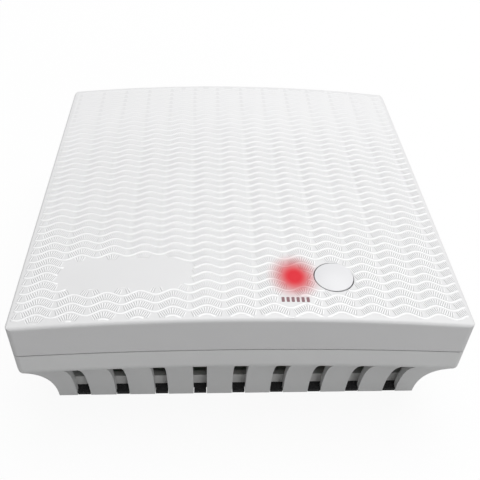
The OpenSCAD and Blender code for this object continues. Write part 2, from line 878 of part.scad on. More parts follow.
module microcontroller() {
  color([0.12, 0.12, 0.13]) on_board(mcu_x_share, mcu_y_share, board_top) {
    block(0, 0, mcu_standoff, mcu_w, mcu_w, mcu_h);
    for (turn = [0, 90, 180, 270], k = [0 : mcu_leads - 1])
      rotate([0, 0, turn])
        block(mcu_w / 2 + lead_l / 2 - lead_t / 2, (k - (mcu_leads - 1) / 2) * lead_pitch, 0,
          lead_l + lead_t, lead_w, lead_t);
  }
}

module voltage_regulator() {
  color([0.14, 0.14, 0.15]) on_board(regulator_x_share, regulator_y_share, board_top) {
    block(0, 0, 0, regulator_w, regulator_d, regulator_h);
    block(0, regulator_d / 2, 0, regulator_w * 0.8, 2 * regulator_tab, regulator_tab_t);
    for (side = [-1, 1])
      block(side * regulator_w / 3, -regulator_d / 2, 0, regulator_leg_w, 2 * regulator_leg_l,
        regulator_tab_t);
  }
}

module bridge_rectifier() {
  color([0.14, 0.14, 0.15]) on_board(rectifier_x_share, rectifier_y_share, board_top) {
    block(0, 0, 0, rectifier_w, rectifier_d, rectifier_h);
    for (x = [-1, 1])
      block(x * rectifier_w / 4, 0, 0, lead_l, rectifier_d + 2 * lead_l, lead_t);
  }
}

// Upright capacitor with the beaded neck of its can
module storage_capacitor() {
  color([0.25, 0.25, 0.45]) on_board(capacitor_x_share, capacitor_y_share, board_z - capacitor_h)
    difference() {
      cylinder(r = capacitor_r, h = capacitor_h);
      translate([0, 0, capacitor_h - capacitor_base - capacitor_groove_h]) difference() {
        cylinder(r = capacitor_r + overrun, h = capacitor_groove_h);
        cylinder(r = capacitor_r - capacitor_groove, h = capacitor_groove_h);
      }
      for (turn = [0, 90]) rotate([0, 0, turn])
        block(0, 0, 0, capacitor_r, capacitor_groove, capacitor_groove);
    }
}

// Wound drum between two square flanges
module power_inductor() {
  color([0.3, 0.3, 0.32]) on_board(inductor_x_share, inductor_y_share, board_top) {
    block(0, 0, 0, inductor_w, inductor_w, inductor_flange_t);
    cylinder(r = inductor_coil_r, h = inductor_h);
    block(0, 0, inductor_h - inductor_flange_t, inductor_w, inductor_w, inductor_flange_t);
  }
}

module selector_pins() {
  color([0.15, 0.15, 0.16]) on_board(selector_x_share, selector_y_share, board_top) {
    block(0, 0, 0, selector_pin_count * pin_pitch, pin_pitch, selector_base_h);
    for (k = [0 : selector_pin_count - 1])
      block((k - (selector_pin_count - 1) / 2) * pin_pitch, 0, 0, pin_w, pin_w, selector_pin_top);
  }
}

// Jumper on the first two pins of the selector
module selector_jumper() {
  hole = pin_w + 2 * jumper_clear;
  color([0.1, 0.25, 0.6]) on_board(selector_x_share, selector_y_share, board_top + selector_base_h)
    difference() {
      block(-pin_pitch / 2, 0, 0, 2 * pin_pitch - jumper_clear, pin_pitch, jumper_h);
      for (k = [0, 1])
        block((k - 1) * pin_pitch, 0, -overrun, hole, hole, jumper_h + 2 * overrun);
      block(-pin_pitch / 2, 0, jumper_h - jumper_wall, pin_pitch, pin_pitch / 3, jumper_h);
    }
}

module chip_parts() {
  color([0.35, 0.28, 0.22]) for (share = chip_shares)
    on_board(share.x, share.y, board_top) block(0, 0, 0, chip_l, chip_w, chip_h);
}

front_cover();
vent_housing();
wall_plate();
wall_gasket();
push_button();
light_guide();
status_lamp();
switch_body();
switch_plunger();
main_board();
board_screws();
gas_cell();
cell_board();
gas_filter();
infrared_lamp();
infrared_detector();
cell_pins();
terminal_block();
terminal_screws();
terminal_clamps();
microcontroller();
voltage_regulator();
bridge_rectifier();
storage_capacitor();
power_inductor();
selector_pins();
selector_jumper();
chip_parts();
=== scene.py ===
"""Looks of a wall-mounted gas sensor: its outer shells, face relief, print, finishes and a plain stage."""

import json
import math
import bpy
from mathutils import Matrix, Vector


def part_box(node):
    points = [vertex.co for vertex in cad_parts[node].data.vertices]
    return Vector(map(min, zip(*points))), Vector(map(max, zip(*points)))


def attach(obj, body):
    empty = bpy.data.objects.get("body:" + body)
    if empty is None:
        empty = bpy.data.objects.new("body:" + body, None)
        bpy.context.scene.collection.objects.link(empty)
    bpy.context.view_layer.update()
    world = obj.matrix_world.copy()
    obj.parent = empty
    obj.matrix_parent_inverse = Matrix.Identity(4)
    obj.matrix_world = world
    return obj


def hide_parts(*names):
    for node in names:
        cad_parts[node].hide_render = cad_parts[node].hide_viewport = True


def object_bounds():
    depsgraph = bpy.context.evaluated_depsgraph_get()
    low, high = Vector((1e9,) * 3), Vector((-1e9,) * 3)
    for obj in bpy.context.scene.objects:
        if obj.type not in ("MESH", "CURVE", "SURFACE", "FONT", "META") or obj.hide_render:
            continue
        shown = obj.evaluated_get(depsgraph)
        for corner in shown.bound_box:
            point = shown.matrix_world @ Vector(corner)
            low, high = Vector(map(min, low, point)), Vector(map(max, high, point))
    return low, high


bl_info = {
    "name": "Wall Gas Sensor Looks",
    "version": (1, 0, 0),
    "blender": (4, 5, 0),
    "location": "View3D > Sidebar > Gas Sensor",
    "description": "Adds face relief, print, finishes and a plain stage to a packed gas sensor",
    "category": "Object",
}

import bmesh
import bpy
import numpy as np
from bpy.props import FloatProperty, FloatVectorProperty, IntProperty, PointerProperty
from bpy.types import Operator, Panel, PropertyGroup
from mathutils import Matrix, Vector

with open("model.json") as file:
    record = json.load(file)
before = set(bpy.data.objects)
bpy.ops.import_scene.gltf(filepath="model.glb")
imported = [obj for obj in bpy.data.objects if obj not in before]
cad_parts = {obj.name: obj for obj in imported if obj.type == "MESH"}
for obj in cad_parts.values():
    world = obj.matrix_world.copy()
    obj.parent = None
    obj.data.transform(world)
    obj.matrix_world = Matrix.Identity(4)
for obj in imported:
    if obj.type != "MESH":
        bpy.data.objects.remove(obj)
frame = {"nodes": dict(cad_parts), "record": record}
CAD_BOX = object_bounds()

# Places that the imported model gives
COVER_LO, COVER_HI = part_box("front_cover")
BUTTON_LO, BUTTON_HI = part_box("push_button")
GUIDE_LO, GUIDE_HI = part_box("light_guide")
BOARD_LO, BOARD_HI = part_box("main_board")
HALF_W = COVER_HI.x
HALF_D = COVER_HI.y
BUTTON_PLACE = (BUTTON_LO + BUTTON_HI) / 2
LIGHT_PLACE = (GUIDE_LO + GUIDE_HI) / 2

# Camera that matches the photograph, from a fit to the outline of the unit
CAMERA_PLACE = (-0.009573, -0.158979, 0.156607)
CAMERA_RIGHT = (0.99853, -0.04072, 0.03572)
CAMERA_DOWN = (-0.00042, -0.66533, -0.74655)
CAMERA_FOCUS_PX = 642.43
CAMERA_NEAR = 0.01
PICTURE_PX = 480
SENSOR_MM = 36

# Gap between the object's foot and the floor, in metres, and the cells along a side of the floor
FLOOR_DROP = 0.0001
FLOOR_CELLS = 8

# Places where one inner part changes its material, in metres from an end of the part or from the board
LEAD_TOP = 0.00035
HEADER_TOP = 0.00252
DRUM_FLANGE = 0.00082
SLEEVE_END = 0.0004
STRIPE_WIDTH = 0.0012

# Samples of a ridge over one wave, and of a wave's length over the whole face
RIDGE_SAMPLES = 14
WAVE_SAMPLES = 6000
# Section of a ridge: places as shares of its half width, and the height there as a share of its own
RIDGE_PLACES = (-1.0, -0.6, 0.0, 0.6, 1.0)
RIDGE_HEIGHTS = (0.0, 0.72, 1.0, 0.72, 0.0)
# Width of a bar's top, as a share of its foot
BAR_TOP = 0.7
# Width of a printed block and radius of its corners, as shares of the pitch, and facets of a corner
MARK_SHARE = 0.62
MARK_CORNER = 0.14
MARK_FACETS = 4

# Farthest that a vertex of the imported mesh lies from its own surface, in metres
ON_SURFACE = 0.000003
# Distance within which a vertex counts as lying on a slice, in metres or radians
ON_SLICE = 0.0000001
# Least share of a face's normal that points, on average, along the normal of its own surface
LEAST_MATCH = 0.2
# Halvings that find where an edge meets a slice
HALVINGS = 24
# Rounds in which a shell's vertices move onto its surfaces, and then onto its soft lip
SNAP_ROUNDS = 6
LIP_ROUNDS = 4
# Turn between two faces, in degrees, from which their shared edge stays sharp
SHARP_TURN = 30


def amount(name, about, default):
    """A plain number or a share, as the panel shows it."""
    return FloatProperty(name=name, description=about, default=default)


def length(name, about, default):
    """A size in metres."""
    return FloatProperty(name=name, description=about, default=default, unit="LENGTH", precision=5)


def spot(name, about, default):
    """A place in metres."""
    return FloatVectorProperty(name=name, description=about, default=default, subtype="TRANSLATION")


def colour(name, about, default):
    """A colour in scene-linear light."""
    return FloatVectorProperty(
        name=name, description=about, default=default, subtype="COLOR", size=3, min=0, max=1
    )


class SensorSizes(PropertyGroup):
    """Sizes of the two outer shells, and of the relief and the print on the face."""

    crown_rise: length("Crown rise", "Rise of the face from its side edges to its middle", 0.003)
    face_edge: length("Face edge", "Radius of the edge round the face", 0.001)
    edge_sink: amount("Edge sink", "Depth of the side edge's middle under the crown, in radii", 0.99)
    near_corner: length("Near corners", "Radius of the two corners at the lower side", 0.002)
    far_corner: length("Far corners", "Radius of the two corners at the upper side", 0.003)
    skirt: length("Skirt", "Height of the plain skirt, from the lip to the face", 0.0179)
    band: length("Band", "Height of the band between the lip and the seam", 0.0069)
    lip_rise: length("Lip rise", "Rise of the arched lip from its sides to its middle", 0.002)
    foot_inset_x: length("Foot inset, sides", "How far the foot stands in at the left and right", 0.0065)
    foot_inset_y: length("Foot inset, ends", "How far the foot stands in at the other sides", 0.00775)
    lip_soft: length("Lip softness", "Depth over which the edge of the lip is rounded", 0.0008)
    slice_width: length("Slice width", "Width of the slices of a fine shell", 0.004)
    edge_slices: IntProperty(
        name="Edge slices", description="Facets across a rounded edge", default=8, min=2
    )
    wave_period: length("Wave period", "Distance between two crests of a ridge", 0.00826)
    wave_height: length("Wave height", "Distance from a ridge's troughs to its crests", 0.0015)
    wave_start: length("Wave start", "Place of a crest across the face", 0.0072)
    row_pitch: length("Row pitch", "Distance between two ridges", 0.00289)
    row_start: length("Row start", "Place of one ridge's line up the middle of the face", -0.00113)
    row_slope: amount("Row slope", "Rise of the rows to the right, per length", 0.02)
    ridge_width: length("Ridge width", "Width of a ridge at its foot", 0.0007)
    ridge_height: length("Ridge height", "Height of a ridge above the face", 0.00013)
    tick_pitch: length("Tick pitch", "Distance between two ticks along the wave", 0.00054)
    tick_length: length("Tick length", "Length of a tick across its band", 0.0017)
    tick_width: length("Tick width", "Width of a tick at its foot", 0.0003)
    # Painted shade: each groove between two ticks holds a thin dark strip of this width.
    groove_width: length("Groove width", "Width of the dark groove between two ticks", 0.00022)
    plain_from: amount("Plain from", "Share of a wave, from its crest, where the ticks stop", 0.46)
    plain_to: amount("Plain to", "Share of a wave, from its crest, where the ticks go on", 0.59)
    # Higher up the face the relief grows lower, and its painted tones fade into an even painted sheen.
    calm_from: length("Calm from", "Place up the face from which the relief grows fainter", 0.005)
    calm_to: length("Calm to", "Place up the face where the relief is faintest", 0.05)
    calm_and_sheen_share: amount("Calm share", "Share of its height and tone that the faintest relief loses", 0.85)
    tick_height: length("Tick height", "Height of a tick above the face", 0.0001)
    # Height of the thin strip of painted shade in each groove.
    groove_height: length("Groove height", "Height of a groove's floor above the face", 0.00002)
    sink: length("Sink", "Depth of the relief's underside below the face", 0.00006)
    fade: length("Fade", "Stretch over which the relief runs out at a smooth zone", 0.0005)
    edge_margin: length("Edge margin", "Smooth margin along the edge of the face", 0.0012)
    pad_length: length("Pad length", "Length of the smooth pad at the lower left", 0.0345)
    pad_width: length("Pad width", "Width of that pad", 0.0105)
    pad_x: length("Pad place across", "Middle of the pad across the face", -0.0302)
    pad_y: length("Pad place up", "Middle of the pad up the face", -0.0407)
    button_margin: length("Button margin", "Smooth ring round the button", 0.0006)
    light_window: length("Light window", "Radius of the smooth window over the light", 0.0032)
    glow_radius: length("Glow radius", "Radius at which the light's glow ends", 0.0079)
    glow_core: length("Glow core", "Radius of the fully lit core", 0.0013)
    glow_flat: amount("Glow shape", "Width of the glow by its height", 0.85)
    mark_x: length("Mark place across", "Middle of the printed row, from the light", -0.0005)
    mark_y: length("Mark place up", "Middle of the printed row up the face", -0.0508)
    mark_width: length("Mark width", "Length of the printed row", 0.0075)
    mark_height: length("Mark height", "Height of the printed row", 0.0016)
    mark_thickness: length("Mark thickness", "Thickness of the print above the face", 0.00004)
    mark_count: IntProperty(
        name="Marks", description="Number of printed blocks", default=6, min=1, max=12
    )


class SensorColours(PropertyGroup):
    """Colours of the outer parts."""

    cover: colour("Cover", "White of the front cover", (0.735, 0.735, 0.74))
    # Painted highlight: the ridges' white is lighter than the cover's, for the light that their raised
    # tops catch.
    ridge: colour("Ridges", "White of the smooth ridges", (0.93, 0.93, 0.935))
    # Painted highlight: the ticks' white is lighter than the cover's, for the light on their raised tops.
    tick: colour("Ticks", "White of the ticks between the ridges", (0.91, 0.91, 0.915))
    # Painted shade: the dark tone of the thin strips laid in the grooves between the ticks.
    groove: colour("Grooves", "Tone of the grooves between the ticks", (0.51, 0.51, 0.515))
    # Painted sheen: an even tone that the relief's painted highlights and shade fade into higher up the
    # face.
    painted_far_sheen: colour("Calm relief", "Tone that the relief takes on higher up the face", (0.82, 0.82, 0.825))
    housing: colour("Housing", "White of the vent housing", (0.765, 0.77, 0.77))
    plate: colour("Wall plate", "White of the wall plate", (0.72, 0.72, 0.71))
    button: colour("Button", "White of the push button", (0.75, 0.75, 0.765))
    # Painted light: this red is also painted onto the cover round the light, in its colour and emission.
    glow: colour("Glow", "Red of the status light", (0.74, 0.008, 0.024))
    mark: colour("Print", "Dark print under the light", (0.16, 0.085, 0.095))
    foam: colour("Gasket", "Black of the foam gasket", (0.012, 0.012, 0.013))


class SensorStage(PropertyGroup):
    """Lamps, floor and surroundings."""

    lamp_watts: amount("Lamp power", "Power of the overhead lamp, in watts", 7.5)
    lamp_size: length("Lamp size", "Side of the overhead lamp", 0.9)
    lamp_place: spot("Lamp place", "Place of the overhead lamp", (0.17, 0.2, 0.9))
    fill_watts: amount("Fill power", "Power of the low lamp in front, in watts", 1.8)
    fill_size: length("Fill size", "Side of the low lamp", 0.5)
    fill_place: spot("Fill place", "Place of the low lamp", (0.5, -0.85, 0.25))
    sky: amount("Surroundings", "Level of the light from all round", 0.36)
    floor_size: length("Floor size", "Side of the floor", 6.0)
    floor_grey: amount("Floor tone", "Tone of the floor in reflected light", 0.4)
    floor_matt: amount("Floor matt", "Tone of the part of the floor that takes the shadow", 0.93)
    floor_white: amount("Floor white", "Share of plain white in the floor that the camera sees", 0.92)


def sizes():
    """Sizes that the panel shows."""
    return bpy.context.scene.sensor_sizes


def shown(name):
    """One of the colours that the panel shows."""
    return tuple(getattr(bpy.context.scene.sensor_colours, name))


class Wire:
    """A socket of a node tree, or a sum of sockets, written as a Python expression."""

    def __init__(self, recipe, socket):
        self.recipe = recipe
        self.socket = socket

    def maths(self, operation, *values):
        """Result of a Math node on some values."""
        inputs = dict(enumerate(values))
        return self.recipe.add("ShaderNodeMath", {"operation": operation}, inputs)

    def __add__(self, other):
        return self.maths("ADD", self, other)

    def __radd__(self, other):
        return self.maths("ADD", other, self)

    def __sub__(self, other):
        return self.maths("SUBTRACT", self, other)

    def __rsub__(self, other):
        return self.maths("SUBTRACT", other, self)

    def __mul__(self, other):
        return self.maths("MULTIPLY", self, other)

    def __rmul__(self, other):
        return self.maths("MULTIPLY", other, self)

    def __pow__(self, other):
        return self.maths("POWER", self, other)

    def __lt__(self, other):
        return self.maths("LESS_THAN", self, other)

    def __gt__(self, other):
        return self.maths("GREATER_THAN", self, other)


class Recipe:
    """Node tree of one finish."""

    def __init__(self, tree):
        self.tree = tree
        tree.nodes.clear()

    def add(self, kind, settings=None, inputs=None, output=0):
        """Adds a node with its settings and the values or links of its sockets. Returns an output."""
        node = self.tree.nodes.new(kind)
        for name, value in (settings or {}).items():
            setattr(node, name, value)
        for key, value in (inputs or {}).items():
            self.feed(node.inputs[key], value)
        return Wire(self, node.outputs[output]) if node.outputs else None

    def feed(self, socket, value):
        """Sets a socket's value, or links a wire to it."""
        if isinstance(value, Wire):
            self.tree.links.new(value.socket, socket)
        elif socket.type == "RGBA":
            socket.default_value = (*value, 1)
        else:
            socket.default_value = value

    def place(self):
        """Place on the object in the row frame, in metres."""
        return self.add("ShaderNodeTexCoord", output="Object")

    def axes(self):
        """X, Y and Z of that place."""
        split = self.add("ShaderNodeSeparateXYZ", inputs={0: self.place()}).socket.node
        return [Wire(self, socket) for socket in split.outputs]

    def stretched(self, factors):
        """Place with each axis multiplied by its factor, for grain that runs one way."""
        inputs = {0: self.place(), 1: factors}
        return self.add("ShaderNodeVectorMath", {"operation": "MULTIPLY"}, inputs)

    def noise(self, scale, detail=3.0, place=None):
        """Soft noise from 0 to 1, with its scale in grains to the metre."""
        inputs = {"Vector": place or self.place(), "Scale": scale, "Detail": detail}
        return self.add("ShaderNodeTexNoise", inputs=inputs)

    def cells(self, scale):
        """Distance to the nearest point of a cell pattern."""
        return self.add("ShaderNodeTexVoronoi", inputs={"Vector": self.place(), "Scale": scale})

    def step(self, value, low, high):
        """Smooth step from 0 at low to 1 at high."""
        inputs = {"Value": value, 1: low, 2: high, 3: 0.0, 4: 1.0}
        return self.add("ShaderNodeMapRange", {"interpolation_type": "SMOOTHSTEP"}, inputs)

    def mix(self, factor, first, second):
        """First colour where the factor is 0, and second where it is 1."""
        inputs = {0: factor, 6: first, 7: second}
        return self.add("ShaderNodeMix", {"data_type": "RGBA"}, inputs, output=2)

    def bump(self, height, distance):
        """Normal of a surface with that relief, whose full height is the distance in metres."""
        inputs = {"Height": height, "Distance": distance, "Strength": 1.0}
        return self.add("ShaderNodeBump", inputs=inputs)


def shade(tone, share):
    """A colour made darker or lighter by a share."""
    return tuple(min(1.0, value * share) for value in tone)


def finish(name, paint):
    """Material whose surface is what the paint function feeds to a Principled shader."""
    material = bpy.data.materials.new(name)
    material.use_nodes = True
    recipe = Recipe(material.node_tree)
    surface = recipe.add("ShaderNodeBsdfPrincipled", inputs=paint(recipe))
    recipe.add("ShaderNodeOutputMaterial", inputs={"Surface": surface})
    return material


def moulded(tone, gloss, grain, depth=0.00001):
    """Paint of a moulded plastic: a faint cloud in its tone and the fine grain of the tool."""

    def paint(recipe):
        cloud = recipe.noise(90.0)
        fine = recipe.noise(grain, 2.0)
        return {
            "Base Color": recipe.mix(cloud, shade(tone, 0.975), shade(tone, 1.02)),
            "Roughness": gloss - 0.05 + 0.1 * fine,
            "Normal": recipe.bump(fine, depth),
        }

    return paint


def lit_cover(tone, gloss, painted_far_sheen=None):
    """Paint of the white cover, with the light's red glow painted on, and a painted sheen higher up if one
    is given.
    """
    size = sizes()

    def paint(recipe):
        x, y = recipe.axes()[:2]
        across = x - LIGHT_PLACE.x
        up = (y - LIGHT_PLACE.y) * size.glow_flat
        away = (across * across + up * up) ** 0.5
        glow = 1.0 - recipe.step(away, size.glow_core, size.glow_radius)
        halo = glow ** 3.0
        base = moulded(tone, gloss, 1800.0)(recipe)
        # Painted sheen: higher up the face the tone fades toward the even sheen tone.
        if painted_far_sheen:
            share = recipe.step(y, size.calm_from, size.calm_to) * size.calm_and_sheen_share
            base["Base Color"] = recipe.mix(share, base["Base Color"], painted_far_sheen)
        # Painted light: round the light the cover's colour turns to the glow's red, and a halo of it glows
        # by emission.
        red = shown("glow")
        base["Base Color"] = recipe.mix(glow, base["Base Color"], shade(red, 0.72))
        base["Emission Color"] = recipe.mix(halo, (0.0, 0.0, 0.0), shade(red, 0.2))
        base["Roughness"] = base["Roughness"] + 0.3 * halo
        base["Emission Strength"] = 1.0
        return base

    return paint


def printed(recipe):
    """Paint of the dark print, a little worn at its grain."""
    tone = shown("mark")
    worn = recipe.mix(recipe.noise(2500.0), tone, shade(tone, 1.9))
    return {"Base Color": worn, "Roughness": 0.6}


def foam(recipe):
    """Paint of closed-cell foam."""
    tone = shown("foam")
    pores = recipe.cells(1600.0)
    return {
        "Base Color": recipe.mix(pores, tone, shade(tone, 2.2)),
        "Roughness": 0.95,
        "Normal": recipe.bump(pores, 0.0002),
    }


def clear_rod(recipe):
    """Paint of clear acrylic that carries red light."""
    cloud = recipe.noise(120.0)
    red = shown("glow")
    return {
        "Base Color": recipe.mix(cloud, (0.95, 0.7, 0.7), (0.98, 0.8, 0.8)),
        "Roughness": 0.05 + 0.05 * cloud,
        "Transmission Weight": 0.6,
        "IOR": 1.49,
        "Emission Color": recipe.mix(cloud, shade(red, 0.3), shade(red, 0.4)),
        "Emission Strength": 1.0,
    }


def lamp_lens(recipe):
    """Paint of the lit red lamp, brightest at its tip."""
    low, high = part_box("status_lamp")
    tip = recipe.step(recipe.axes()[2], low.z, high.z)
    return {
        "Base Color": recipe.mix(tip, (0.5, 0.02, 0.03), (0.9, 0.1, 0.12)),
        "Roughness": 0.15 + 0.1 * recipe.noise(800.0),
        "Emission Color": recipe.mix(tip, (0.1, 0.0, 0.0), (1.0, 0.08, 0.1)),
        "Emission Strength": 1.0,
    }


def laminate(tone):
    """Paint of a circuit board: solder mask over copper runs, with the weave of the sheet."""

    def paint(recipe):
        inputs = {"Vector": recipe.place(), "Scale": 260.0, "Mortar Size": 0.06, "Mortar Smooth": 0.3}
        runs = 1.0 - recipe.add("ShaderNodeTexBrick", inputs=inputs, output="Fac")
        weave = recipe.noise(900.0)
        mask = recipe.mix(runs, shade(tone, 0.7), shade(tone, 1.25))
        return {
            "Base Color": recipe.mix(weave * 0.25, mask, shade(tone, 1.6)),
            "Roughness": 0.28 + 0.1 * weave,
            "Normal": recipe.bump(runs, 0.00003),
            "Coat Weight": 0.3,
            "Coat Roughness": 0.15,
        }

    return paint


def plated(tone, gloss, streaks=(60.0, 60.0, 900.0)):
    """Paint of a plated metal with fine streaks."""

    def paint(recipe):
        grain = recipe.noise(12.0, 4.0, recipe.stretched(streaks))
        return {
            "Base Color": recipe.mix(grain, shade(tone, 0.88), shade(tone, 1.06)),
            "Metallic": 1.0,
            "Roughness": gloss - 0.06 + 0.14 * grain,
            "Normal": recipe.bump(grain, 0.000006),
        }

    return paint


def part_metal(recipe, metal, tones, gloss, grain):
    """Paint of a part that is metal where the mask is 1: its tones, its gloss by parts, and its grain."""
    fine = recipe.noise(grain)
    return {
        "Base Color": recipe.mix(metal, *tones),
        "Metallic": metal,
        "Roughness": gloss[0] - gloss[1] * metal + gloss[2] * fine,
        "Normal": recipe.bump(fine, 0.00001),
    }


def package(recipe):
    """Paint of a chip: black moulding above, tinned leads where it meets the board."""
    lead = recipe.axes()[2] < BOARD_HI.z + LEAD_TOP
    tones = (0.018, 0.018, 0.02), (0.6, 0.6, 0.58)
    return part_metal(recipe, lead, tones, (0.5, 0.2, 0.1), 3000.0)


def pin_header(recipe):
    """Paint of a pin header: black base with gilt pins that rise out of it."""
    pin = recipe.axes()[2] > BOARD_HI.z + HEADER_TOP
    tones = (0.02, 0.02, 0.022), (0.8, 0.6, 0.28)
    return part_metal(recipe, pin, tones, (0.5, 0.25, 0.08), 2500.0)


def filter_sheet(recipe):
    """Paint of the porous white sheet over the gas inlet."""
    fibres = recipe.noise(2200.0, 5.0, recipe.stretched((1.0, 2.5, 1.0)))
    return {
        "Base Color": recipe.mix(fibres, (0.8, 0.8, 0.78), (0.93, 0.93, 0.91)),
        "Roughness": 0.9,
        "Normal": recipe.bump(fibres, 0.00005),
    }


def sleeve(recipe):
    """Paint of the capacitor: dark shrunk sleeve with a pale stripe, and the bare can at its end."""
    low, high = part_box("storage_capacitor")
    x, y, z = recipe.axes()
    bare = z < low.z + SLEEVE_END
    stripe = (x > high.x - STRIPE_WIDTH) * (1.0 - bare)
    film = recipe.mix(stripe, (0.012, 0.014, 0.05), (0.55, 0.55, 0.6))
    return part_metal(recipe, bare, (film, (0.7, 0.7, 0.72)), (0.3, 0.0, 0.12), 1500.0)


def coil_drum(recipe):
    """Paint of the inductor: grey ferrite flanges round a copper winding."""
    low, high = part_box("power_inductor")
    z = recipe.axes()[2]
    wound = (z > low.z + DRUM_FLANGE) * (z < high.z - DRUM_FLANGE)
    inputs = {"Vector": recipe.place(), "Scale": 700.0}
    turns = recipe.add("ShaderNodeTexWave", {"bands_direction": "Z"}, inputs)
    speck = recipe.cells(2600.0)
    core = recipe.mix(speck, (0.03, 0.03, 0.033), (0.09, 0.09, 0.095))
    return {
        "Base Color": recipe.mix(wound, core, (0.6, 0.24, 0.1)),
        "Roughness": 0.75 - 0.4 * wound,
        "Normal": recipe.bump(turns * wound, 0.00005),
    }


def ceramic(recipe):
    """Paint of the small chips: speckled brown ceramic."""
    speck = recipe.noise(4000.0)
    return {
        "Base Color": recipe.mix(speck, (0.16, 0.1, 0.06), (0.3, 0.22, 0.15)),
        "Roughness": 0.45 + 0.15 * speck,
        "Normal": recipe.bump(speck, 0.00001),
    }


def slot_paints():
    """Paint of each material slot of the record."""
    return {
        "cover_plastic": lit_cover(shown("cover"), 0.42),
        "housing_plastic": moulded(shown("housing"), 0.45, 1800.0),
        "plate_plastic": moulded(shown("plate"), 0.5, 1500.0),
        "black_foam": foam,
        "button_plastic": moulded(shown("button"), 0.42, 900.0, 0.000002),
        "clear_acrylic": clear_rod,
        "red_lamp": lamp_lens,
        "black_plastic": moulded((0.02, 0.02, 0.022), 0.5, 2500.0),
        "plunger_plastic": moulded((0.68, 0.65, 0.56), 0.45, 1500.0),
        "green_laminate": laminate((0.02, 0.16, 0.06)),
        "blue_laminate": laminate((0.015, 0.06, 0.22)),
        "zinc_steel": plated((0.62, 0.63, 0.65), 0.3),
        "gilt_cell": plated((0.8, 0.6, 0.26), 0.25, (300.0, 60.0, 60.0)),
        "filter_sheet": filter_sheet,
        "bright_can": plated((0.74, 0.74, 0.76), 0.18),
        "brass_pins": plated((0.8, 0.62, 0.3), 0.25),
        "terminal_plastic": moulded((0.04, 0.25, 0.09), 0.4, 1500.0),
        "capacitor_sleeve": sleeve,
        "ferrite": coil_drum,
        "jumper_plastic": moulded((0.02, 0.06, 0.35), 0.4, 1500.0),
        "chip_ceramic": ceramic,
    }


# Nodes whose one slot shows two materials
NODE_PAINTS = {
    "microcontroller": package,
    "voltage_regulator": package,
    "bridge_rectifier": package,
    "selector_pins": pin_header,
}


def arc_radius(reach, rise):
    """Radius of an arc that rises so far over that reach, from a level start."""
    return (reach * reach + rise * rise) / (2 * rise)


def crown_radius():
    """Radius of the crowned face."""
    return arc_radius(HALF_W, sizes().crown_rise)


def face_z(x):
    """Height of the crowned face at a place across it."""
    radius = crown_radius()
    return COVER_HI.z - radius + np.sqrt(radius * radius - np.square(x))


def wave_offset(x):
    """How far a ridge lies above its row's start at a place across the face."""
    size = sizes()
    wave = size.wave_height / 2 * np.cos(2 * math.pi * (x - size.wave_start) / size.wave_period)
    return wave + size.row_slope * x


def wave_slope(x):
    """Rise of a ridge per length at a place across the face."""
    size = sizes()
    turn = 2 * math.pi / size.wave_period
    return size.row_slope - size.wave_height / 2 * turn * np.sin(turn * (x - size.wave_start))


def wave_ways(x):
    """Ways along a ridge and across it, at places across the face."""
    slope = wave_slope(x)
    norm = np.hypot(1.0, slope)
    return np.stack([1.0 / norm, slope / norm], 1), np.stack([-slope / norm, 1.0 / norm], 1)


def strength(y):
    """Share of its height that the relief keeps at a place up the face."""
    size = sizes()
    way = np.clip((y - size.calm_from) / (size.calm_to - size.calm_from), 0.0, 1.0)
    return 1.0 - size.calm_and_sheen_share * way * way * (3.0 - 2.0 * way)


def relief_room(x, y):
    """Distance from a place on the face to the nearest smooth zone, negative inside one."""
    size = sizes()
    edge = np.minimum(HALF_W - size.edge_margin - np.abs(x), HALF_D - size.edge_margin - np.abs(y))
    end = (size.pad_length - size.pad_width) / 2
    along = np.maximum(np.abs(x - size.pad_x) - end, 0.0)
    pad = np.hypot(along, y - size.pad_y) - size.pad_width / 2
    cap_radius = (BUTTON_HI.x - BUTTON_LO.x) / 2
    button = np.hypot(x - BUTTON_PLACE.x, y - BUTTON_PLACE.y) - cap_radius + size.button_margin
    light = np.hypot(x - LIGHT_PLACE.x, y - LIGHT_PLACE.y) - size.light_window
    mark_along = np.abs(x - LIGHT_PLACE.x - size.mark_x) - size.mark_width / 2
    mark_up = np.abs(y - size.mark_y) - size.mark_height / 2
    mark = np.maximum(mark_along, mark_up) - size.fade
    return np.minimum.reduce([edge, pad, button, light, mark])


def row_lines():
    """Places up the face where the rows start, counted both ways from the middle."""
    size = sizes()
    count = int(HALF_D / size.row_pitch) + 1
    return size.row_start + np.arange(-count, count + 1) * size.row_pitch


def add_object(name, data):
    """New object in the scene."""
    item = bpy.data.objects.new(name, data)
    bpy.context.scene.collection.objects.link(item)
    return item


def add_piece(name, points, faces, paint, smooth):
    """Mesh object that rides on the housing and takes a finish of its own."""
    mesh = bpy.data.meshes.new(name)
    mesh.from_pydata([tuple(point) for point in points], [], faces)
    mesh.polygons.foreach_set("use_smooth", [smooth] * len(mesh.polygons))
    mesh.materials.append(finish(name, paint))
    mesh.validate()
    piece = add_object(name, mesh)
    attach(piece, "housing")


def strip_faces(first, rings, sides):
    """Faces of a closed bar of rings, with its two ends."""
    faces = []
    for ring in range(rings - 1):
        for side in range(sides):
            a = first + ring * sides + side
            b = first + ring * sides + (side + 1) % sides
            faces.append((a, b, b + sides, a + sides))
    faces.append(tuple(range(first + sides - 1, first - 1, -1)))
    last = first + (rings - 1) * sides
    faces.append(tuple(range(last, last + sides)))
    return faces


def ridge_runs(keep):
    """Stretches of a row, each a first and a last sample, where the relief is kept."""
    edges = np.flatnonzero(np.diff(np.concatenate([[0], keep.astype(int), [0]])))
    return [(a, b) for a, b in zip(edges[::2], edges[1::2]) if b - a > 2]


